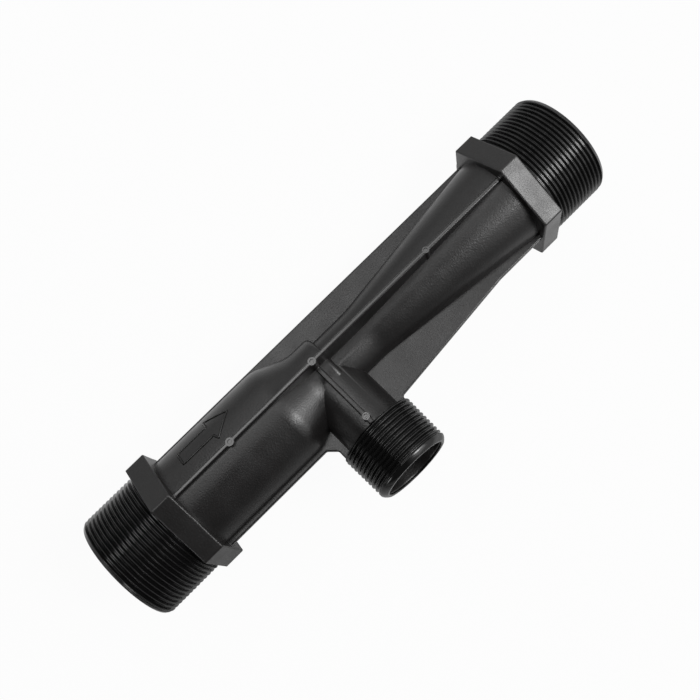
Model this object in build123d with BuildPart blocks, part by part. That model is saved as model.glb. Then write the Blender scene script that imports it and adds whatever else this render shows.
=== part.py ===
"""Venturi injector, moulded in one piece, with male pipe threads on all three ends.

Water flows along +X from the inlet thread to the outlet thread, through a nozzle, a throat
and a long diffuser. The suction port joins at the throat. The injector lies on one flat of
each hexagon, so the port points sideways and up. The origin is on the flow axis, in the
plane where the inlet thread meets its hexagon. All sizes are millimetres.
"""

import os
from math import cos, radians, sin, tan

from build123d import *

# Main pipe threads, drawn as plain lands at their major diameter
main_thread_diameter = 59.2
main_thread_length = 32.1
main_lead_depth = 1.2
main_lead_length = 2.0
main_thread_wall = 5.2

# Hexagon collars behind the main threads
hexagon_across_flats = 59.3
hexagon_thickness = 11.0
hexagon_corner_radius = 1.2
hexagon_edge_chamfer = 0.4

# Outside of the body between the hexagons
body_length = 210.0
body_diameter = 51.8
body_wall = 3.6
neck_diameter = 37.4
neck_slope = 22.5
neck_blend_radius = 18.0
neck_end_radius = 2.8
throat_tube_diameter = 30.2
diffuser_blend_radius = 60.0

# Places along the body, measured from the axis of the suction port
port_offset = 86.6
neck_start = 6.5
neck_end = 7.6
diffuser_start = 29.5

# Passages inside
jet_diameter = 18.0
jet_setback = 1.2
nozzle_length = 27.5
throat_diameter = 21.2

# Suction port and its pipe thread, drawn as a plain land
port_tube_diameter = 32.6
port_thread_diameter = 41.7
port_thread_start = 38.4
port_length = 64.1
port_lead_depth = 2.35
port_lead_length = 2.7
port_lead_radius = 1.5
port_mouth_diameter = 34.0
port_bore_draft = 0.8
port_socket_depth = 21.0
port_tube_wall = 4.6
port_throat_taper = 18.0
suction_diameter = 17.0

# Stiffening web through the port, and the thinner rib across it
rib_reach = 28.2
web_thickness = 2.6
rib_thickness = 2.2
port_rib_thickness = 2.5
rib_edge_chamfer = 0.35
web_crown = 35.1
web_kink_offset = 94.5
web_corner_radius = 1.6
gusset_foot = 24.1
gusset_crown = 32.3
web_collar_inset = 0.85

# Round ejector pads on the ribs
pad_dimple_diameter = 2.0
pad_dimple_depth = 0.4
inlet_pad_diameter = 4.2
inlet_pad_offset = -52.0
crossing_pad_diameter = 4.0
outlet_pad_diameter = 3.4
outlet_pad_offset = 74.0
port_pad_diameter = 3.8
port_pad_height = 34.4

# How far the body is rolled from port level to lying on a hexagon flat
port_tilt = 30.0

# Sizes that follow from those above
main_thread_radius = main_thread_diameter / 2
hexagon_radius = hexagon_across_flats / 2 / cos(radians(30))
body_radius = body_diameter / 2
neck_radius = neck_diameter / 2
tube_radius = throat_tube_diameter / 2
port_thread_radius = port_thread_diameter / 2
body_start = hexagon_thickness
body_end = body_start + body_length
outlet_shoulder = body_end + hexagon_thickness
inlet_end = -main_thread_length
outlet_end = outlet_shoulder + main_thread_length
port_x = body_start + port_offset
shoulder_start = port_x - neck_start - (body_radius - neck_radius) / tan(radians(neck_slope))
mouth_radius = main_thread_radius - main_thread_wall
bore_radius = body_radius - body_wall
jet_radius = jet_diameter / 2
throat_radius = throat_diameter / 2
suction_radius = suction_diameter / 2
jet_end = port_x - suction_radius - jet_setback
nozzle_start = jet_end - nozzle_length
past_end = 1.0
inside_hexagon = hexagon_thickness / 2

# The two directions across the flow, and the planes that hold them
port_direction = (0, -cos(radians(port_tilt)), sin(radians(port_tilt)))
rib_direction = (0, sin(radians(port_tilt)), cos(radians(port_tilt)))
web_plane = Plane(origin=(0, 0, 0), x_dir=(1, 0, 0), z_dir=tuple(-c for c in rib_direction))
rib_plane = Plane(origin=(0, 0, 0), x_dir=(1, 0, 0), z_dir=port_direction)
port_rib_plane = Plane(origin=(port_x, 0, 0), x_dir=port_direction, z_dir=(-1, 0, 0))
port_axis = Axis((port_x, 0, 0), port_direction)


def across_flow(x):
    """The plane square to the flow at x, with its own x towards the port."""
    return Plane(origin=(x, 0, 0), x_dir=port_direction, z_dir=(1, 0, 0))


def along_rib(x):
    """The plane square to the rib direction at x, through the flow axis."""
    return Plane(origin=(x, 0, 0), x_dir=(1, 0, 0), z_dir=rib_direction)


# Outside of the flow tube, turned about the flow axis: inlet land, body, sloping shoulder,
# neck round the port, slim throat tube, growing diffuser, outlet land
outer_corners = [
    ((inlet_end, 0), 0),
    ((inlet_end, main_thread_radius - main_lead_depth), 0),
    ((inlet_end + main_lead_length, main_thread_radius), 0),
    ((0, main_thread_radius), 0),
    ((body_start, main_thread_radius), 0),
    ((body_start, body_radius), 0),
    ((shoulder_start, body_radius), neck_blend_radius),
    ((port_x - neck_start, neck_radius), neck_blend_radius),
    ((port_x + neck_end, neck_radius), neck_end_radius),
    ((port_x + neck_end, tube_radius), 0),
    ((port_x + diffuser_start, tube_radius), diffuser_blend_radius),
    ((body_end, body_radius), 0),
    ((body_end, main_thread_radius), 0),
    ((outlet_end - main_lead_length, main_thread_radius), 0),
    ((outlet_end, main_thread_radius - main_lead_depth), 0),
    ((outlet_end, 0), 0),
]
with BuildPart() as flow_tube:
    with BuildSketch(rib_plane):
        with BuildLine():
            FilletPolyline(
                *[point for point, _ in outer_corners],
                radius=[radius for _, radius in outer_corners],
                close=True,
            )
        make_face()
    revolve(axis=Axis.X)

# Hexagon collars, each with one corner in line with the rib, flat towards the thread so that
# a socket meets a clean face
with BuildPart() as hexagons:
    for start in (0, body_end):
        with BuildSketch(across_flow(start)) as outline:
            RegularPolygon(hexagon_radius, 6, rotation=30)
            fillet(outline.vertices(), hexagon_corner_radius)
        extrude(amount=hexagon_thickness)
    body_side_faces = hexagons.faces().filter_by(Axis.X).sort_by(Axis.X)[1:3]
    chamfer(body_side_faces.edges(), hexagon_edge_chamfer)

# Web in the plane of the port: straight behind, and in front a gusset up to the port thread
# and a long brace that falls from it to the outlet end
collar_edge = port_thread_radius - web_collar_inset
web_corners = [
    ((inside_hexagon, -rib_reach), 0),
    ((outlet_shoulder - inside_hexagon, -rib_reach), 0),
    ((outlet_shoulder - inside_hexagon, rib_reach), 0),
    ((port_x + web_kink_offset, rib_reach), web_corner_radius),
    ((port_x + collar_edge, web_crown), web_corner_radius),
    ((port_x + collar_edge, port_thread_start), 0),
    ((port_x - collar_edge, port_thread_start), 0),
    ((port_x - collar_edge, gusset_crown), web_corner_radius),
    ((port_x - gusset_foot, rib_reach), web_corner_radius),
    ((inside_hexagon, rib_reach), 0),
]
with BuildPart() as web:
    with BuildSketch(web_plane):
        with BuildLine():
            FilletPolyline(
                *[point for point, _ in web_corners],
                radius=[radius for _, radius in web_corners],
                close=True,
            )
        make_face()
    extrude(amount=web_thickness / 2, both=True)
    broad_faces = web.faces().sort_by(SortBy.AREA)[-2:]
    chamfer(broad_faces.edges(), rib_edge_chamfer)

# Rib square to the web, above and below the body
with BuildPart() as cross_rib:
    with BuildSketch(rib_plane):
        with Locations((outlet_shoulder / 2, 0)):
            Rectangle(outlet_shoulder - 2 * inside_hexagon, 2 * rib_reach)
    extrude(amount=rib_thickness / 2, both=True)
    broad_faces = cross_rib.faces().sort_by(SortBy.AREA)[-2:]
    chamfer(broad_faces.edges(), rib_edge_chamfer)

# Port tube and its threaded land, turned about the port axis
with BuildPart() as port:
    with BuildSketch(port_rib_plane):
        with BuildLine():
            FilletPolyline(
                (0, 0),
                (0, port_tube_diameter / 2),
                (port_thread_start, port_tube_diameter / 2),
                (port_thread_start, port_thread_radius),
                (port_length - port_lead_length, port_thread_radius),
                (port_length, port_thread_radius - port_lead_depth),
                (port_length, 0),
                radius=[0, 0, 0, 0, port_lead_radius, 0, 0],
                close=True,
            )
        make_face()
    revolve(axis=port_axis)

# Rib along the port tube, as high as the port thread
with BuildPart() as port_rib:
    with BuildSketch(port_rib_plane):
        with Locations((port_thread_start / 2, 0)):
            Rectangle(port_thread_start, port_thread_diameter)
    extrude(amount=port_rib_thickness / 2, both=True)
    broad_faces = port_rib.faces().sort_by(SortBy.AREA)[-2:]
    chamfer(broad_faces.edges(), rib_edge_chamfer)

# Passages: inlet bore, nozzle, throat and diffuser on the flow axis
passage_corners = [
    ((inlet_end - past_end, 0), 0),
    ((inlet_end - past_end, mouth_radius), 0),
    ((inlet_end, mouth_radius), 0),
    ((nozzle_start, bore_radius), neck_blend_radius),
    ((jet_end, jet_radius), 0),
    ((jet_end, throat_radius), 0),
    ((port_x + diffuser_start, throat_radius), diffuser_blend_radius),
    ((body_end, bore_radius), 0),
    ((outlet_end, mouth_radius), 0),
    ((outlet_end + past_end, mouth_radius), 0),
    ((outlet_end + past_end, 0), 0),
]
with BuildPart() as flow_passage:
    with BuildSketch(rib_plane):
        with BuildLine():
            FilletPolyline(
                *[point for point, _ in passage_corners],
                radius=[radius for _, radius in passage_corners],
                close=True,
            )
        make_face()
    revolve(axis=Axis.X)

# Suction passage: wide socket in the thread, then a tapered bore down to the throat
socket_bottom = port_length - port_socket_depth
port_mouth_radius = port_mouth_diameter / 2
port_bore_radius = port_tube_diameter / 2 - port_tube_wall
with BuildPart() as suction_passage:
    with BuildSketch(port_rib_plane):
        with BuildLine():
            Polyline(
                (0, 0),
                (0, suction_radius),
                (port_throat_taper, suction_radius),
                (port_thread_start, port_bore_radius),
                (socket_bottom, port_mouth_radius - port_bore_draft),
                (port_length, port_mouth_radius),
                (port_length + past_end, port_mouth_radius),
                (port_length + past_end, 0),
                close=True,
            )
        make_face()
    revolve(axis=port_axis)

# Everything outside is joined first, then the passages go through it
pads = [
    (port_x + inlet_pad_offset, 0, inlet_pad_diameter, rib_reach),
    (port_x, 0, crossing_pad_diameter, rib_reach),
    (port_x + outlet_pad_offset, 0, outlet_pad_diameter, rib_reach),
    (port_x, port_pad_height, port_pad_diameter, port_thread_radius),
]
with BuildPart() as injector_body:
    add(flow_tube.part)
    add(hexagons.part)
    add(web.part)
    add(cross_rib.part)
    add(port.part)
    add(port_rib.part)
    for x, height, diameter, top in pads:
        with BuildSketch(along_rib(x)):
            with Locations((0, -height)):
                Circle(diameter / 2)
        extrude(amount=top)
        with BuildSketch(along_rib(x).offset(top)):
            with Locations((0, -height)):
                Circle(pad_dimple_diameter / 2)
        extrude(amount=-pad_dimple_depth, mode=Mode.SUBTRACT)
    add(flow_passage.part, mode=Mode.SUBTRACT)
    add(suction_passage.part, mode=Mode.SUBTRACT)

injector_body.part.label = "injector_body"
os.makedirs("parts", exist_ok=True)
export_step(injector_body.part, "parts/injector_body.step")
print("volume", round(injector_body.part.volume), "solids", len(injector_body.solids()))
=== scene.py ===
"""Moulded venturi injector: the looks around the packed part.

The body is a merged copy of the part's own surface. The pipe threads are swept by Geometry Nodes
along a helix, and the flow arrow is a raised line that follows the inlet cylinder. Everything is in
metres, in the part's frame: +X along the flow, the origin where the inlet thread meets its hexagon.
"""

import math

import bmesh
import bpy
from mathutils import Matrix, Vector


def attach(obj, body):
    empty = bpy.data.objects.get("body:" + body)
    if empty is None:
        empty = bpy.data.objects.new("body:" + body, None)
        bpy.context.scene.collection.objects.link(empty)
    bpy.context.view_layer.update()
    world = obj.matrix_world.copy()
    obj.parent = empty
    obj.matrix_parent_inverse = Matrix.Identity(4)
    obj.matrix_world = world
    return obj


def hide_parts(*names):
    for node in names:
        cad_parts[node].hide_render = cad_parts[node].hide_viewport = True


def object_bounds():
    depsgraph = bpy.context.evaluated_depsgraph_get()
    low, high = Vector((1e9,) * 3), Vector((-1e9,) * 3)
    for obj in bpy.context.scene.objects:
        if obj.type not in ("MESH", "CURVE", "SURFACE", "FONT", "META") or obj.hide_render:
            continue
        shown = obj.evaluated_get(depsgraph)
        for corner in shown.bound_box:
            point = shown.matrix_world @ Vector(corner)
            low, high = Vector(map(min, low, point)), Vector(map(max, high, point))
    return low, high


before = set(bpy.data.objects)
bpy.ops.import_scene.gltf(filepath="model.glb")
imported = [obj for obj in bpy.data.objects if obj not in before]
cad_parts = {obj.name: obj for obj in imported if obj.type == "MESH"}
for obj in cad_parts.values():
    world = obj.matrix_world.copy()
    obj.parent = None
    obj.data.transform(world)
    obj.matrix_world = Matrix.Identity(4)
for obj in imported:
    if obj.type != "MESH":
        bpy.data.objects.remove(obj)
cad_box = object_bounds()

bl_info = {
    "name": "Venturi injector",
    "version": (1, 0, 0),
    "blender": (4, 5, 0),
    "location": "View3D > Sidebar > Injector",
    "description": "Moulded venturi injector with pipe threads, flow arrow and studio",
    "category": "Object",
}

MM = 0.001

# Directions across the flow: towards the suction port, and towards the rib on top
TILT = math.radians(30)
PORT_WAY = Vector((0, -math.cos(TILT), math.sin(TILT)))
RIB_WAY = Vector((0, math.sin(TILT), math.cos(TILT)))
PORT_X = 97.6 * MM
OUTLET_SHOULDER = 232 * MM

# The body's ribs, in mm: where their narrow tops begin, half their widths, and how far the
# hexagon collars reach along the flow
RIB_TOP = 27.8
CROSS_RIB_HALF = 1.1
WEB_HALF = 1.2
COLLAR_WIDTH = 11.5

# The round pads on the rib tops, in mm: along the flow from the port, towards the port, height and
# radius. A pad's rim and dimple lie within PAD_DEPTH of its height
PAD_DEPTH = 0.5
PADS = [
    (-52.0, 0.0, 28.2, 2.1),
    (0.0, 0.0, 28.2, 2.0),
    (74.0, 0.0, 28.2, 1.7),
    (0.0, 34.4, 20.85, 1.9),
]

# The flow arrow's corners: mm along the flow from the port, and degrees round the flow axis from
# the port's direction. One degree takes up DEGREE_LENGTH mm on the inlet cylinder
DEGREE_LENGTH = 0.45
ARROW_CORNERS = [
    (-74.3, 110.2),
    (-55.6, 110.2),
    (-54.5, 103.3),
    (-43.6, 122.4),
    (-56.4, 139.3),
    (-56.0, 127.7),
    (-74.3, 127.7),
]

# Soft panels round the middle of the part: elevation and azimuth from +X in degrees, width and
# height in metres, watts
PART_MIDDLE = Vector((0.116, 0, 0))
PANEL_DISTANCE = 1.1
PANELS = {
    "outlet_front_panel": (61, -28, 0.32, 0.32, 4.8),
    "outlet_panel": (48, -14, 0.36, 0.36, 1.7),
    "outlet_far_panel": (50, 28, 0.4, 0.4, 0.55),
    "far_side_panel": (43, 74, 0.46, 0.26, 1.15),
    "far_side_strip": (43, 105, 0.5, 0.26, 1.9),
    "far_low_panel": (20, 92, 0.4, 0.4, 0.6),
    "far_high_panel": (66, 100, 0.6, 0.4, 1.2),
    "overhead_panel": (66, 0, 0.44, 0.44, 1.5),
    "front_panel": (44, -50, 0.66, 0.5, 1.5),
    "inlet_low_panel": (20, 194, 0.3, 0.3, 1.2),
}

# Half a side of the square floor in metres, and how much of it looks white to the camera. The rest
# of it keeps the shadow
FLOOR_HALF = 6.0
FLOOR_WHITE = 0.96

# The least light that the surroundings give, as a share of white
ROOM_DIM = 0.03

# The camera, solved from the photo: metres, degrees, mm of focal length on a sensor 36 mm wide
CAMERA_PLACE = (0.07889, 0.09286, 0.42123)
CAMERA_TURN = (-5.576, -12.174, -43.345)
FOCAL_LENGTH = 45.543
SENSOR_WIDTH = 36.0
CLIP_NEAR, CLIP_FAR = 0.01, 50.0


def linear(colour):
    """An sRGB hex colour as linear RGBA."""
    coded = [int(colour[at : at + 2], 16) / 255 for at in (1, 3, 5)]
    light = [c / 12.92 if c <= 0.04045 else ((c + 0.055) / 1.055) ** 2.4 for c in coded]
    return (*light, 1)


def add_node(tree, kind, inputs=(), **settings):
    """A node with its settings, its inputs set to values or linked from nodes and sockets."""
    made = tree.nodes.new(kind)
    for name, value in settings.items():
        setattr(made, name, value)
    for key, value in inputs.items() if isinstance(inputs, dict) else enumerate(inputs):
        if isinstance(value, bpy.types.Node):
            value = value.outputs[0]
        if isinstance(value, bpy.types.NodeSocket):
            tree.links.new(value, made.inputs[key])
        elif value is not None:
            made.inputs[key].default_value = value
    return made


def length_property(name, description, default_mm):
    return bpy.props.FloatProperty(
        name=name,
        description=description,
        default=default_mm * MM,
        unit="LENGTH",
        subtype="DISTANCE",
    )


def share_property(name, description, default):
    return bpy.props.FloatProperty(
        name=name, description=description, default=default, min=0, max=1, subtype="FACTOR"
    )


def colour_property(name, description, colour):
    return bpy.props.FloatVectorProperty(
        name=name,
        description=description,
        default=linear(colour),
        size=4,
        min=0,
        max=1,
        subtype="COLOR",
    )


class MainThreadSizes(bpy.types.PropertyGroup):
    """The two inch threads at inlet and outlet"""

    major_radius: length_property("Major radius", "Crest of the thread", 29.6)
    taper: length_property("Taper", "How much the crest radius falls towards the free end", 0.0)
    pitch: length_property("Pitch", "One turn: eleven threads to the inch", 2.309)
    depth: length_property("Depth", "Crest to root", 1.479)
    length: length_property("Length", "Hexagon to free end", 32.1)
    thread_length: length_property("Thread length", "Where the groove runs out", 30.3)
    lead_length: length_property("Lead length", "Chamfer at the free end", 2.0)
    rim_radius: length_property("Rim radius", "Outer edge of the end face", 28.4)
    bore_radius: length_property("Bore radius", "Mouth of the bore", 24.4)
    core_radius: length_property("Core radius", "Wall under the thread", 27.5)
    lead_roundness: bpy.props.FloatProperty(
        name="Lead roundness", description="1 is a straight chamfer, more is rounded", default=1.15
    )
    phase: share_property("Phase", "Part of a turn that the start is put back", 0.35)
    segments: bpy.props.IntProperty(
        name="Segments", description="Steps round one turn", default=112
    )


class PortThreadSizes(bpy.types.PropertyGroup):
    """The slightly tapered thread of the suction port"""

    major_radius: length_property("Major radius", "Crest of the thread", 21.07)
    taper: length_property("Taper", "How much the crest radius falls towards the free end", 0.6)
    pitch: length_property("Pitch", "One turn: eleven threads to the inch", 2.309)
    depth: length_property("Depth", "Crest to root", 1.42)
    start: length_property("Start", "Tube shoulder, measured from the flow axis", 38.4)
    length: length_property("Length", "Tube shoulder to free end", 25.7)
    thread_length: length_property("Thread length", "Where the groove runs out", 21.9)
    lead_length: length_property("Lead length", "Chamfer at the free end", 2.7)
    rim_radius: length_property("Rim radius", "Outer edge of the end face", 18.5)
    bore_radius: length_property("Bore radius", "Mouth of the bore", 17.0)
    core_radius: length_property("Core radius", "Wall under the thread", 18.3)
    lead_roundness: bpy.props.FloatProperty(
        name="Lead roundness", description="1 is a straight chamfer, more is rounded", default=1.8
    )
    phase: share_property("Phase", "Part of a turn that the start is put back", 0.1)
    segments: bpy.props.IntProperty(
        name="Segments", description="Steps round one turn", default=96
    )


class ArrowSizes(bpy.types.PropertyGroup):
    """The raised outline of an arrow on the inlet cylinder"""

    line_width: length_property("Line width", "Width of the raised line", 1.3)
    line_height: length_property("Line height", "How far its ridge stands out", 0.36)
    radius: length_property("Radius", "Cylinder that carries the line", 25.93)


class Finish(bpy.types.PropertyGroup):
    """Colours and surface of the moulding"""

    body_colour: colour_property("Body colour", "Carbon black polypropylene", "#171616")
    thread_colour: colour_property("Thread colour", "The plastic where it is polished", "#0e0e0e")
    body_roughness: share_property("Body roughness", "Spark-eroded skin", 0.33)
    thread_roughness: share_property("Thread roughness", "Polished threads", 0.17)
    rib_roughness: share_property("Rib roughness", "Tops of the ribs", 0.14)
    pin_roughness: share_property("Pin roughness", "Round pin marks", 0.1)
    grain: length_property("Grain", "Size of one spark-eroded pit", 0.8)


def tree_inputs(tree, **names_by_kind):
    """Give a node tree its named inputs and its Geometry output, and return the inputs' sockets."""
    for kind, names in names_by_kind.items():
        for name in names:
            tree.interface.new_socket(name=name, in_out="INPUT", socket_type="NodeSocket" + kind)
    tree.interface.new_socket(name="Geometry", in_out="OUTPUT", socket_type="NodeSocketGeometry")
    return add_node(tree, "NodeGroupInput").outputs


def spot_on_circle(tree, angle, radius, height):
    """Nodes for the position at an angle, a radius and a height round +Z."""
    sides = []
    for operation in ("COSINE", "SINE"):
        turned = add_node(tree, "ShaderNodeMath", (angle,), operation=operation)
        sides.append(add_node(tree, "ShaderNodeMath", (turned, radius), operation="MULTIPLY"))
    return add_node(tree, "ShaderNodeCombineXYZ", (*sides, height))


def end_tree(tree, geometry, material):
    """Realize a tree's result and give it its material."""
    realized = add_node(tree, "GeometryNodeRealizeInstances", {"Geometry": geometry})
    finished = add_node(
        tree, "GeometryNodeSetMaterial", {"Geometry": realized, "Material": material}
    )
    add_node(tree, "NodeGroupOutput", {"Geometry": finished})


def pipe_thread_tree():
    """A threaded sleeve on +Z: helical skin, end face, lip into the bore and inner wall, closed."""
    tree = bpy.data.node_groups.new("Pipe thread", "GeometryNodeTree")
    sizes = (
        "Major Radius",
        "Taper",
        "Pitch",
        "Depth",
        "Length",
        "Thread Length",
        "Lead Length",
        "Lead Roundness",
        "Rim Radius",
        "Bore Radius",
        "Core Radius",
        "Lip",
        "Lip Reach",
        "Phase",
    )
    given = tree_inputs(tree, Float=sizes, Int=("Segments", "Turns"), Material=("Material",))
    maths = "ShaderNodeMath"
    rows = 24
    full_turn = 2 * math.pi

    # The skin: a strip one pitch wide that winds up the cylinder, so its edges meet turn by turn
    steps = add_node(tree, maths, (given["Segments"], given["Turns"]), operation="MULTIPLY")
    columns = add_node(tree, maths, (steps, 1.0), operation="ADD")
    strip = add_node(
        tree,
        "GeometryNodeMeshGrid",
        {"Vertices X": columns, "Vertices Y": rows + 1, "Size X": 1.0, "Size Y": 1.0},
    )
    index = add_node(tree, "GeometryNodeInputIndex")
    counted = add_node(tree, maths, (index, rows + 1.0), operation="DIVIDE")
    column = add_node(tree, maths, (counted,), operation="FLOOR")
    row = add_node(tree, maths, (index, rows + 1.0), operation="FLOORED_MODULO")
    turn = add_node(tree, maths, (column, given["Segments"]), operation="DIVIDE")
    angle = add_node(tree, maths, (turn, full_turn), operation="MULTIPLY")
    across = add_node(tree, maths, (row, float(rows)), operation="DIVIDE")
    wound = add_node(tree, maths, (turn, across), operation="ADD")
    put_back = add_node(tree, maths, (given["Phase"], 1.0), operation="ADD")
    place = add_node(tree, maths, (wound, put_back), operation="SUBTRACT")
    lift = add_node(tree, maths, (place, given["Pitch"]), operation="MULTIPLY")
    height = add_node(tree, "ShaderNodeClamp", (lift, 0.0, given["Length"]))

    # Rounded crests and roots with steep flanks, from a cosine that swings by a little more than
    # half the depth to each side and is cut off top and bottom
    amplitude = 0.518
    swing = add_node(tree, maths, (across, full_turn), operation="MULTIPLY")
    cosine = add_node(tree, maths, (swing,), operation="COSINE")
    wave = add_node(
        tree, maths, (cosine, -amplitude, 0.5), operation="MULTIPLY_ADD", use_clamp=True
    )
    hollow = add_node(tree, maths, (1.0, wave), operation="SUBTRACT")
    half_pitch = add_node(tree, maths, (given["Pitch"], 0.5), operation="MULTIPLY")
    groove_end = add_node(tree, maths, (given["Thread Length"], half_pitch), operation="ADD")
    left = add_node(tree, maths, (groove_end, lift), operation="SUBTRACT")
    fade = add_node(tree, maths, (left, half_pitch), operation="DIVIDE", use_clamp=True)
    cut = add_node(tree, maths, (hollow, fade), operation="MULTIPLY")
    groove = add_node(tree, maths, (cut, given["Depth"]), operation="MULTIPLY")

    # Crest radius with its taper, and the lead-in that trims it at the free end
    part = add_node(tree, maths, (height, given["Length"]), operation="DIVIDE")
    drop = add_node(tree, maths, (part, given["Taper"]), operation="MULTIPLY")
    crest = add_node(tree, maths, (given["Major Radius"], drop), operation="SUBTRACT")
    carved = add_node(tree, maths, (crest, groove), operation="SUBTRACT")
    to_end = add_node(tree, maths, (given["Length"], height), operation="SUBTRACT")
    lead_length = given["Lead Length"]
    lead = add_node(tree, maths, (to_end, lead_length), operation="DIVIDE", use_clamp=True)
    rest = add_node(tree, maths, (1.0, lead), operation="SUBTRACT")
    bowed = add_node(tree, maths, (rest, given["Lead Roundness"]), operation="POWER")
    kept = add_node(tree, maths, (1.0, bowed), operation="SUBTRACT")
    rim = given["Rim Radius"]
    above_rim = add_node(tree, maths, (crest, rim), operation="SUBTRACT")
    trimmed = add_node(tree, maths, (above_rim, kept, rim), operation="MULTIPLY_ADD")
    outer = add_node(tree, maths, (carved, trimmed), operation="MINIMUM")

    # Rows below the start all fall on the root circle, where the sleeve closes
    root = add_node(tree, maths, (given["Major Radius"], given["Depth"]), operation="SUBTRACT")
    below = add_node(tree, maths, (lift, 0.0), operation="LESS_THAN")
    to_root = add_node(tree, maths, (root, outer), operation="SUBTRACT")
    radius = add_node(tree, maths, (below, to_root, outer), operation="MULTIPLY_ADD")
    skin_spot = spot_on_circle(tree, angle, radius, height)
    skin = add_node(tree, "GeometryNodeSetPosition", {"Geometry": strip, "Position": skin_spot})

    # The section that closes it: end face, lip, bore, inner wall and foot
    lip_radius = add_node(tree, maths, (given["Bore Radius"], given["Lip"]), operation="ADD")
    lip_height = add_node(tree, maths, (given["Length"], given["Lip"]), operation="SUBTRACT")
    reach = given["Lip Reach"]
    reach_height = add_node(tree, maths, (given["Length"], reach), operation="SUBTRACT")
    section = [
        (rim, given["Length"]),
        (lip_radius, given["Length"]),
        (given["Bore Radius"], lip_height),
        (given["Bore Radius"], reach_height),
        (given["Core Radius"], reach_height),
        (given["Core Radius"], 0.0),
        (root, 0.0),
    ]
    around = add_node(tree, maths, (given["Segments"], 1.0), operation="ADD")
    ring = add_node(
        tree,
        "GeometryNodeMeshGrid",
        {"Vertices X": around, "Vertices Y": len(section), "Size X": 1.0, "Size Y": 1.0},
    )
    count = float(len(section))
    counted = add_node(tree, maths, (index, count), operation="DIVIDE")
    station = add_node(tree, maths, (counted,), operation="FLOOR")
    corner = add_node(tree, maths, (index, count), operation="FLOORED_MODULO")
    share = add_node(tree, maths, (station, given["Segments"]), operation="DIVIDE")
    bearing = add_node(tree, maths, (share, full_turn), operation="MULTIPLY")
    picks = []
    for values in zip(*section):
        pick = add_node(tree, "GeometryNodeIndexSwitch", data_type="FLOAT")
        while len(pick.index_switch_items) < len(section):
            pick.index_switch_items.new()
        tree.links.new(corner.outputs[0], pick.inputs["Index"])
        for at, value in enumerate(values):
            if isinstance(value, float):
                pick.inputs[str(at)].default_value = value
            else:
                source = value.outputs[0] if isinstance(value, bpy.types.Node) else value
                tree.links.new(source, pick.inputs[str(at)])
        picks.append(pick)
    closing_spot = spot_on_circle(tree, bearing, *picks)
    closing = add_node(
        tree, "GeometryNodeSetPosition", {"Geometry": ring, "Position": closing_spot}
    )
    both = add_node(tree, "GeometryNodeJoinGeometry")
    tree.links.new(skin.outputs[0], both.inputs[0])
    tree.links.new(closing.outputs[0], both.inputs[0])
    seam = 0.004 * MM
    merged = add_node(tree, "GeometryNodeMergeByDistance", {"Geometry": both, "Distance": seam})
    end_tree(tree, merged, given["Material"])
    return tree


def raised_line_tree():
    """A low ridge that follows the edges of a mesh round the flow axis, and points away from it."""
    tree = bpy.data.node_groups.new("Raised line", "GeometryNodeTree")
    given = tree_inputs(
        tree, Geometry=("Geometry",), Float=("Line Width", "Line Height"), Material=("Material",)
    )
    path = add_node(tree, "GeometryNodeMeshToCurve", {"Mesh": given["Geometry"]})
    at = add_node(tree, "GeometryNodeInputPosition")
    outward = add_node(tree, "ShaderNodeVectorMath", (at, (0, 1, 1)), operation="MULTIPLY")
    upright = add_node(
        tree, "GeometryNodeSetCurveNormal", {"Curve": path, "Normal": outward}, mode="FREE"
    )
    out_and_in = add_node(tree, "ShaderNodeMath", (given["Line Height"], 2.0), operation="MULTIPLY")
    half = add_node(tree, "ShaderNodeMath", (given["Line Width"], 0.5), operation="MULTIPLY")
    ridge = add_node(
        tree,
        "GeometryNodeCurvePrimitiveQuadrilateral",
        {"Width": out_and_in, "Bottom Height": half, "Top Height": half},
        mode="KITE",
    )
    swept = add_node(tree, "GeometryNodeCurveToMesh", {"Curve": upright, "Profile Curve": ridge})
    end_tree(tree, swept, given["Material"])
    return tree


def carrier_of(name, mesh):
    """An object that carries a mesh while its modifiers run."""
    carrier = bpy.data.objects.new(name + "_source", mesh)
    bpy.context.scene.collection.objects.link(carrier)
    return carrier


def plain_mesh(name, carrier):
    """The mesh that a carrier's modifiers make. The modifiers and the carrier are removed."""
    bpy.context.view_layer.update()
    graph = bpy.context.evaluated_depsgraph_get()
    made = bpy.data.meshes.new_from_object(carrier.evaluated_get(graph), depsgraph=graph)
    carrier.modifiers.clear()
    bpy.data.objects.remove(carrier)
    if len(made.polygons) == 0:
        raise RuntimeError(f"{name}: no faces were made")
    made.name = name
    return made


def grown(name, source, tree, values):
    """The plain mesh that a node tree makes of a source mesh."""
    carrier = carrier_of(name, source)
    modifier = carrier.modifiers.new(tree.name, "NODES")
    modifier.node_group = tree
    for item in tree.interface.items_tree:
        if item.in_out == "INPUT" and item.name in values:
            modifier[item.identifier] = values[item.name]
    return plain_mesh(name, carrier)


def place_piece(name, mesh):
    """An object at the origin that rides on the part."""
    piece = bpy.data.objects.new(name, mesh)
    bpy.context.scene.collection.objects.link(piece)
    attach(piece, "root")
    return piece


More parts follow.
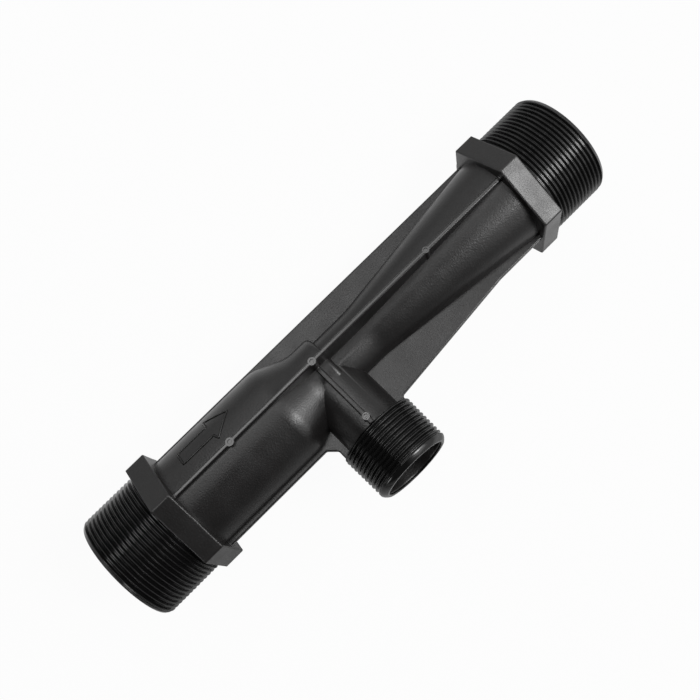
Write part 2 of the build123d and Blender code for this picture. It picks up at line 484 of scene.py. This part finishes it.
def black_plastic(name, colour, roughness, grain, relief, edge, speckle):
    """Carbon black polypropylene. The mould's grain gives it pits that scatter the highlight.

    Grain is the size of a pit, relief the strength of the pits, edge the radius of outer edges, and
    speckle what the palest grains add to the colour.
    """
    if name in bpy.data.materials:
        return bpy.data.materials[name]
    cloud_size = 14 * MM
    spread = 0.05
    pit_depth = 0.13 * MM
    paler = 1.7
    probe = 1.6 * edge
    made = bpy.data.materials.new(name)
    made.use_nodes = True
    tree = made.node_tree
    tree.nodes.clear()
    place = add_node(tree, "ShaderNodeTexCoord").outputs["Object"]
    pits = add_node(
        tree,
        "ShaderNodeTexNoise",
        {"Vector": place, "Scale": 1 / grain, "Detail": 2.0, "Roughness": 0.6},
    ).outputs["Fac"]
    cloud = add_node(
        tree,
        "ShaderNodeTexNoise",
        {"Vector": place, "Scale": 1 / cloud_size, "Detail": 3.0, "Roughness": 0.5},
    ).outputs["Fac"]
    rough = add_node(
        tree,
        "ShaderNodeMapRange",
        {
            "Value": cloud,
            "From Min": 0.3,
            "From Max": 0.7,
            "To Min": roughness - spread,
            "To Max": roughness + spread,
        },
    )
    pale = (*(min(1, channel * paler + speckle) for channel in colour[:3]), 1)
    dots = add_node(
        tree,
        "ShaderNodeMapRange",
        {"Value": pits, "From Min": 0.6, "From Max": 0.78, "To Min": 0.0, "To Max": 1.0},
    )
    tint = add_node(tree, "ShaderNodeMix", {"Factor": dots, 6: colour, 7: pale}, data_type="RGBA")
    # Outer edges come out of the mould rounded. They are where rays into the plastic soon come out
    # on its far side
    thickness = add_node(
        tree,
        "ShaderNodeAmbientOcclusion",
        {"Distance": probe},
        samples=6,
        inside=True,
        only_local=True,
    ).outputs["AO"]
    outer = add_node(
        tree,
        "ShaderNodeMapRange",
        {"Value": thickness, "From Min": 0.97, "From Max": 0.75, "To Min": 0.0, "To Max": 1.0},
    )
    sharp = add_node(tree, "ShaderNodeNewGeometry").outputs["Normal"]
    rounded = add_node(tree, "ShaderNodeBevel", {"Radius": edge}, samples=12)
    blended = add_node(
        tree, "ShaderNodeMix", {"Factor": outer, 4: sharp, 5: rounded}, data_type="VECTOR"
    )
    soft_edge = add_node(tree, "ShaderNodeVectorMath", (blended.outputs[1],), operation="NORMALIZE")
    bump = add_node(
        tree,
        "ShaderNodeBump",
        {"Height": pits, "Strength": relief, "Distance": pit_depth, "Normal": soft_edge},
    )
    surface = add_node(
        tree,
        "ShaderNodeBsdfPrincipled",
        {
            "Base Color": tint.outputs[2],
            "Roughness": rough.outputs[0],
            "IOR": 1.49,
            "Normal": bump,
        },
    )
    add_node(tree, "ShaderNodeOutputMaterial", {"Surface": surface})
    return made


def body_plastic():
    """Moulded body: spark-eroded steel leaves a fine matt grain, drawn coarse enough to show."""
    finish = bpy.context.scene.injector_finish
    return black_plastic(
        "Polypropylene moulded spark-eroded",
        tuple(finish.body_colour),
        finish.body_roughness,
        finish.grain,
        relief=0.65,
        edge=1.2 * MM,
        speckle=0.004,
    )


def thread_plastic():
    """Moulded threads: the polished core leaves them darker and glossier than the body."""
    finish = bpy.context.scene.injector_finish
    return black_plastic(
        "Polypropylene moulded polished",
        tuple(finish.thread_colour),
        finish.thread_roughness,
        grain=1.6 * MM,
        relief=0.03,
        edge=0.1 * MM,
        speckle=0.0,
    )


def rib_plastic():
    """Moulded at the bottom of a ground slot, so it comes out smoother, with rounded edges."""
    finish = bpy.context.scene.injector_finish
    return black_plastic(
        "Polypropylene moulded smooth",
        tuple(finish.body_colour),
        finish.rib_roughness,
        finish.grain,
        relief=0.15,
        edge=0.9 * MM,
        speckle=0.004,
    )


def pin_plastic():
    """Moulded against the flat end of a pin, which leaves a smooth round pad with a hard edge."""
    finish = bpy.context.scene.injector_finish
    return black_plastic(
        "Polypropylene moulded against pin",
        tuple(finish.body_colour),
        finish.pin_roughness,
        finish.grain,
        relief=0.1,
        edge=0.15 * MM,
        speckle=0.004,
    )


def sharpen(mesh, limit):
    """Smooth shading with hard edges past the limit."""
    edit = bmesh.new()
    edit.from_mesh(mesh)
    for face in edit.faces:
        face.smooth = True
    for edge in edit.edges:
        if len(edge.link_faces) == 2:
            edge.smooth = edge.calc_face_angle(0) <= limit
    edit.to_mesh(mesh)
    edit.free()


def level_normals(name, mesh):
    """Normals weighted by area, so that flat faces stay flat beside their rounded edges."""
    carrier = carrier_of(name, mesh)
    weighted = carrier.modifiers.new("Weighted normals", "WEIGHTED_NORMAL")
    weighted.mode = "FACE_AREA_WITH_ANGLE"
    weighted.keep_sharp = True
    return plain_mesh(name, carrier)


def surface_at(point, port):
    """2 on a round pad, 1 on a cross rib's top or the web's edge, 0 on the rest of the body."""
    along = (point.x - PORT_X) / MM
    aside, up = point.dot(PORT_WAY) / MM, point.dot(RIB_WAY) / MM
    for x, port_side, top, radius in PADS:
        if up > top - PAD_DEPTH and math.hypot(along - x, aside - port_side) < radius:
            return 2
    collar = COLLAR_WIDTH * MM
    between_collars = collar < point.x < OUTLET_SHOULDER - collar
    on_rib = abs(aside) < CROSS_RIB_HALF and abs(up) > RIB_TOP
    clear_of_port = abs(along) > port.major_radius / MM
    on_web = abs(up) < WEB_HALF and abs(aside) > RIB_TOP and clear_of_port
    return int(between_collars and (on_rib or on_web))


class INJECTOR_OT_moulded_body(bpy.types.Operator):
    """Body with hexagons, web and ribs: a merged copy of the part, cut back under the threads"""

    bl_idname = "injector.moulded_body"
    bl_label = "Moulded body"

    def execute(self, context):
        main = context.scene.injector_main_thread
        port = context.scene.injector_port_thread
        weld = 0.001 * MM
        near = 0.02 * MM
        rim_slack = 0.1 * MM
        lip_depth = 1.0 * MM
        hard_edge = math.radians(36)
        edit = bmesh.new()
        edit.from_mesh(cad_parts["injector_body"].data)
        bmesh.ops.remove_doubles(edit, verts=edit.verts, dist=weld)
        # A cut just past the shoulder of the port thread, so that only its land is cut back
        cut_place = Vector((PORT_X, 0, 0)) + PORT_WAY * (port.start + 0.05 * MM)
        past_shoulder = port.start + 0.04 * MM
        bmesh.ops.bisect_plane(
            edit,
            geom=edit.verts[:] + edit.edges[:] + edit.faces[:],
            dist=weld / 2,
            plane_co=cut_place,
            plane_no=PORT_WAY,
        )
        # Under each thread the land goes down to the core, and the end face back behind the lip
        for vertex in edit.verts:
            x, across = vertex.co.x, Vector((0, vertex.co.y, vertex.co.z))
            out = across.length
            for side, start in ((-1, 0.0), (1, OUTLET_SHOULDER)):
                along = (x - start) * side
                if along > -near and main.rim_radius - near < out < main.major_radius + near:
                    across *= main.core_radius / out
                    vertex.co = Vector((x, across.y, across.z))
                if along > main.length - near:
                    vertex.co.x -= side * lip_depth
            from_axis = vertex.co - Vector((PORT_X, 0, 0))
            height = from_axis.dot(PORT_WAY)
            if height > past_shoulder:
                aside = from_axis - PORT_WAY * height
                if aside.length > port.rim_radius - rim_slack:
                    vertex.co -= aside * (1 - port.core_radius / aside.length)
            if height > port.start + port.length - near:
                vertex.co -= PORT_WAY * lip_depth
        bmesh.ops.remove_doubles(edit, verts=edit.verts, dist=weld)
        bare = bpy.data.meshes.new("moulded_body_bare")
        edit.to_mesh(bare)
        edit.free()
        sharpen(bare, hard_edge)
        made = level_normals("moulded_body", bare)
        made.materials.clear()
        for material in (body_plastic(), rib_plastic(), pin_plastic()):
            made.materials.append(material)
        for face in made.polygons:
            face.material_index = surface_at(face.center, port)
        piece = place_piece("moulded_body", made)
        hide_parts("injector_body")
        return {"FINISHED"}


class INJECTOR_OT_pipe_threads(bpy.types.Operator):
    """Helical pipe threads on inlet, outlet and suction port"""

    bl_idname = "injector.pipe_threads"
    bl_label = "Pipe threads"

    def execute(self, context):
        tree = pipe_thread_tree()
        main = context.scene.injector_main_thread
        port = context.scene.injector_port_thread
        port_foot = Vector((PORT_X, 0, 0)) + PORT_WAY * port.start
        ends = [
            ("inlet_thread", main, Vector((0, 0, 0)), Vector((-1, 0, 0))),
            ("outlet_thread", main, Vector((OUTLET_SHOULDER, 0, 0)), Vector((1, 0, 0))),
            ("suction_thread", port, port_foot, PORT_WAY),
        ]
        # The inner wall stands a little inside the body's core, so that no gap shows between them
        overlap = 0.4 * MM
        lip = 0.35 * MM
        lip_reach = 1.2 * MM
        spare_turns = 3
        hard_edge = math.radians(25)
        for name, sizes, foot, way in ends:
            values = {
                "Major Radius": sizes.major_radius,
                "Taper": sizes.taper,
                "Pitch": sizes.pitch,
                "Depth": sizes.depth,
                "Length": sizes.length,
                "Thread Length": sizes.thread_length,
                "Lead Length": sizes.lead_length,
                "Lead Roundness": sizes.lead_roundness,
                "Rim Radius": sizes.rim_radius,
                "Bore Radius": sizes.bore_radius,
                "Core Radius": sizes.core_radius - overlap,
                "Lip": lip,
                "Lip Reach": lip_reach,
                "Phase": sizes.phase,
                "Segments": sizes.segments,
                "Turns": math.ceil(sizes.length / sizes.pitch) + spare_turns,
                "Material": thread_plastic(),
            }
            made = grown(name, bpy.data.meshes.new(name + "_start"), tree, values)
            sharpen(made, hard_edge)
            side = way.cross(RIB_WAY)
            turned = Matrix((RIB_WAY, side, way)).transposed().to_4x4()
            made.transform(Matrix.Translation(foot) @ turned)
            place_piece(name, made)
        return {"FINISHED"}


class INJECTOR_OT_flow_arrow(bpy.types.Operator):
    """Raised outline of an arrow that points along the flow"""

    bl_idname = "injector.flow_arrow"
    bl_label = "Flow arrow"

    def execute(self, context):
        sizes = context.scene.injector_arrow
        points = []
        next_corners = ARROW_CORNERS[1:] + ARROW_CORNERS[:1]
        for (x0, a0), (x1, a1) in zip(ARROW_CORNERS, next_corners):
            pieces = max(2, round(math.hypot(x1 - x0, (a1 - a0) * DEGREE_LENGTH)))
            for step in range(pieces):
                t = step / pieces
                angle = math.radians(a0 + (a1 - a0) * t)
                out = PORT_WAY * math.cos(angle) + RIB_WAY * math.sin(angle)
                on_axis = Vector((PORT_X + (x0 + (x1 - x0) * t) * MM, 0, 0))
                points.append(on_axis + out * sizes.radius)
        outline = bpy.data.meshes.new("flow_arrow_line")
        links = [(at, (at + 1) % len(points)) for at in range(len(points))]
        outline.from_pydata(points, links, [])
        values = {
            "Line Width": sizes.line_width,
            "Line Height": sizes.line_height,
            "Material": rib_plastic(),
        }
        made = grown("flow_arrow", outline, raised_line_tree(), values)
        edit = bmesh.new()
        edit.from_mesh(made)
        bmesh.ops.recalc_face_normals(edit, faces=edit.faces)
        edit.to_mesh(made)
        edit.free()
        place_piece("flow_arrow", made)
        return {"FINISHED"}


class INJECTOR_OT_studio(bpy.types.Operator):
    """Pale floor, soft lights, white surroundings and the camera"""

    bl_idname = "injector.studio"
    bl_label = "Studio"

    def execute(self, context):
        scene = context.scene
        scene.view_settings.view_transform = "Standard"
        low, _ = cad_box
        plane = bpy.data.meshes.new("floor")
        corners = [
            (across * FLOOR_HALF, along * FLOOR_HALF, low.z)
            for across, along in ((-1, -1), (1, -1), (1, 1), (-1, 1))
        ]
        plane.from_pydata(corners, [], [(0, 1, 2, 3)])
        floor = bpy.data.objects.new("floor", plane)
        scene.collection.objects.link(floor)
        plane.materials.append(self.paper())
        for name, (elevation, azimuth, width, height, power) in PANELS.items():
            rise, turn = math.radians(elevation), math.radians(azimuth)
            level = math.cos(rise)
            way = Vector((level * math.cos(turn), level * math.sin(turn), math.sin(rise)))
            light = bpy.data.lights.new(name, "AREA")
            light.shape = "RECTANGLE"
            light.size, light.size_y = width, height
            light.energy = power
            lamp = bpy.data.objects.new(name, light)
            lamp.location = PART_MIDDLE + way * PANEL_DISTANCE
            lamp.rotation_euler = (-way).to_track_quat("-Z", "Y").to_euler()
            lamp.visible_camera = False
            scene.collection.objects.link(lamp)
        self.surroundings(scene)
        lens = bpy.data.cameras.new("camera")
        lens.lens, lens.sensor_width = FOCAL_LENGTH, SENSOR_WIDTH
        lens.clip_start, lens.clip_end = CLIP_NEAR, CLIP_FAR
        camera = bpy.data.objects.new("camera", lens)
        camera.location = CAMERA_PLACE
        camera.rotation_euler = [math.radians(angle) for angle in CAMERA_TURN]
        scene.collection.objects.link(camera)
        scene.camera = camera
        return {"FINISHED"}

    def paper(self):
        """Matt white paper sweep: it keeps part of the shadow, looks white to the camera, and
        carries a painted glow in reflections.
        """
        made = bpy.data.materials.new("Paper sweep matt white")
        made.use_nodes = True
        tree = made.node_tree
        tree.nodes.clear()
        maths = "ShaderNodeMath"
        seen = add_node(tree, "ShaderNodeLightPath").outputs
        matt = {"Color": linear("#c4c4c4"), "Roughness": 0.4}
        plain = add_node(tree, "ShaderNodeBsdfDiffuse", matt)
        white = add_node(tree, "ShaderNodeEmission", {"Color": linear("#ffffff"), "Strength": 1.0})
        mirrored = (seen["Is Glossy Ray"], seen["Is Transmission Ray"])
        either = add_node(tree, maths, mirrored, operation="MAXIMUM")
        # Painted glow: reflections see the sweep glow white right behind the part, further back and
        # past the outlet, brighter than the lamps light it
        place = add_node(tree, "ShaderNodeTexCoord").outputs["Object"]
        spot = add_node(tree, "ShaderNodeSeparateXYZ", (place,)).outputs
        near_edge, far_edge, further, past, before = [
            add_node(
                tree,
                "ShaderNodeMapRange",
                {
                    "Value": spot[way],
                    "From Min": start,
                    "From Max": end,
                    "To Min": first,
                    "To Max": last,
                },
            )
            for way, start, end, first, last in (
                ("Y", 0.0, 0.03, 0.0, 0.73),
                ("Y", 0.03, 0.09, 1.0, 0.0),
                ("Y", 0.2, 0.5, 0.0, 0.66),
                ("X", 0.19, 0.26, 0.0, 0.85),
                ("Y", 0.0, 0.02, 1.0, 0.0),
            )
        ]
        behind = add_node(tree, maths, (near_edge, far_edge, further), operation="MULTIPLY_ADD")
        painted_glow = add_node(tree, maths, (past, before, behind), operation="MULTIPLY_ADD")
        part = add_node(tree, maths, (either, painted_glow), operation="MULTIPLY")
        share = add_node(
            tree,
            maths,
            (seen["Is Camera Ray"], FLOOR_WHITE, part),
            operation="MULTIPLY_ADD",
            use_clamp=True,
        )
        mixed = add_node(tree, "ShaderNodeMixShader", (share, plain, white))
        add_node(tree, "ShaderNodeOutputMaterial", {"Surface": mixed})
        return made

    def surroundings(self, scene):
        """White for the camera. Reflections see a white sweep low down and a dim ceiling above."""
        world = bpy.data.worlds.new("studio")
        scene.world = world
        world.use_nodes = True
        tree = world.node_tree
        tree.nodes.clear()
        maths = "ShaderNodeMath"
        seen = add_node(tree, "ShaderNodeLightPath").outputs
        way = add_node(tree, "ShaderNodeTexCoord").outputs["Generated"]
        towards = add_node(tree, "ShaderNodeSeparateXYZ", (way,)).outputs
        # Brighter low down on the part's far side, and high up past the outlet
        horizon = add_node(
            tree,
            "ShaderNodeMapRange",
            {
                "Value": towards["Y"],
                "From Min": -0.15,
                "From Max": 0.15,
                "To Min": 0.47,
                "To Max": 0.95,
            },
        )
        room_side = add_node(
            tree,
            "ShaderNodeMapRange",
            {
                "Value": towards["X"],
                "From Min": -0.1,
                "From Max": 0.35,
                "To Min": 0.0,
                "To Max": 0.7,
            },
        )
        sweep = add_node(
            tree,
            "ShaderNodeMapRange",
            {
                "Value": towards["Z"],
                "From Min": 0.02,
                "From Max": 0.3,
                "To Min": horizon,
                "To Max": room_side,
            },
        )
        white = linear("#ffffff")
        bright = add_node(tree, "ShaderNodeBackground", {"Color": white, "Strength": 1.0})
        mirrored = (seen["Is Glossy Ray"], seen["Is Transmission Ray"])
        either = add_node(tree, maths, mirrored, operation="MAXIMUM")
        room = add_node(tree, maths, (either, sweep), operation="MULTIPLY")
        dim = add_node(tree, maths, (room, ROOM_DIM), operation="MAXIMUM")
        around = add_node(tree, "ShaderNodeBackground", {"Color": white, "Strength": dim})
        mixed = add_node(tree, "ShaderNodeMixShader", (seen["Is Camera Ray"], around, bright))
        add_node(tree, "ShaderNodeOutputWorld", {"Surface": mixed})


class INJECTOR_PT_sidebar(bpy.types.Panel):
    """Sizes, finish and the buttons that build each piece"""

    bl_label = "Venturi injector"
    bl_idname = "INJECTOR_PT_sidebar"
    bl_space_type = "VIEW_3D"
    bl_region_type = "UI"
    bl_category = "Injector"

    def draw(self, context):
        layout = self.layout
        for title, group in GROUPS.items():
            box = layout.box()
            box.label(text=group.__doc__)
            for name in group.__annotations__:
                box.prop(getattr(context.scene, title), name)
        for operator in OPERATORS:
            layout.operator(operator.bl_idname)


GROUPS = {
    "injector_main_thread": MainThreadSizes,
    "injector_port_thread": PortThreadSizes,
    "injector_arrow": ArrowSizes,
    "injector_finish": Finish,
}
OPERATORS = [
    INJECTOR_OT_moulded_body,
    INJECTOR_OT_pipe_threads,
    INJECTOR_OT_flow_arrow,
    INJECTOR_OT_studio,
]


def register():
    for group in GROUPS.values():
        bpy.utils.register_class(group)
    for title, group in GROUPS.items():
        setattr(bpy.types.Scene, title, bpy.props.PointerProperty(type=group))
    for operator in OPERATORS:
        bpy.utils.register_class(operator)
    bpy.utils.register_class(INJECTOR_PT_sidebar)


def unregister():
    bpy.utils.unregister_class(INJECTOR_PT_sidebar)
    for operator in reversed(OPERATORS):
        bpy.utils.unregister_class(operator)
    for title in GROUPS:
        delattr(bpy.types.Scene, title)
    for group in reversed(GROUPS.values()):
        bpy.utils.unregister_class(group)


def main():
    register()
    bpy.ops.injector.moulded_body()
    bpy.ops.injector.pipe_threads()
    bpy.ops.injector.flow_arrow()
    bpy.ops.injector.studio()
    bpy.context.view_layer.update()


if __name__ == "__main__":
    main()
